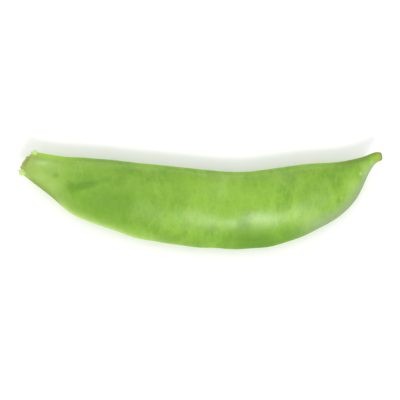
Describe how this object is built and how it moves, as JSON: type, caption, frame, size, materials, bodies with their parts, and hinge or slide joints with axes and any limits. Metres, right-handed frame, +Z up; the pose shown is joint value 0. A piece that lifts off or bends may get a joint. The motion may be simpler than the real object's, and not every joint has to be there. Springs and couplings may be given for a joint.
{
  "type": "snow pea pod",
  "caption": "Fresh green pea pod lying on its flat side, with raised strings along both seams, soft pea swells, a broken stem end and a short upturned beak.",
  "frame": {"origin": "middle of the pod's length and width, on the surface that it lies on", "axes": "+X along the pod from the stem end to the beak, +Y towards the straight seam, +Z up out of the surface that it lies on"},
  "size_m": [0.0708, 0.0192, 0.0078],
  "materials": {
    "pod_skin": "satin waxy plant skin, yellow-green with paler strings and neck"
  },
  "bodies": {
    "root": {"pod": "pod_skin"}
  },
  "joints": []
}
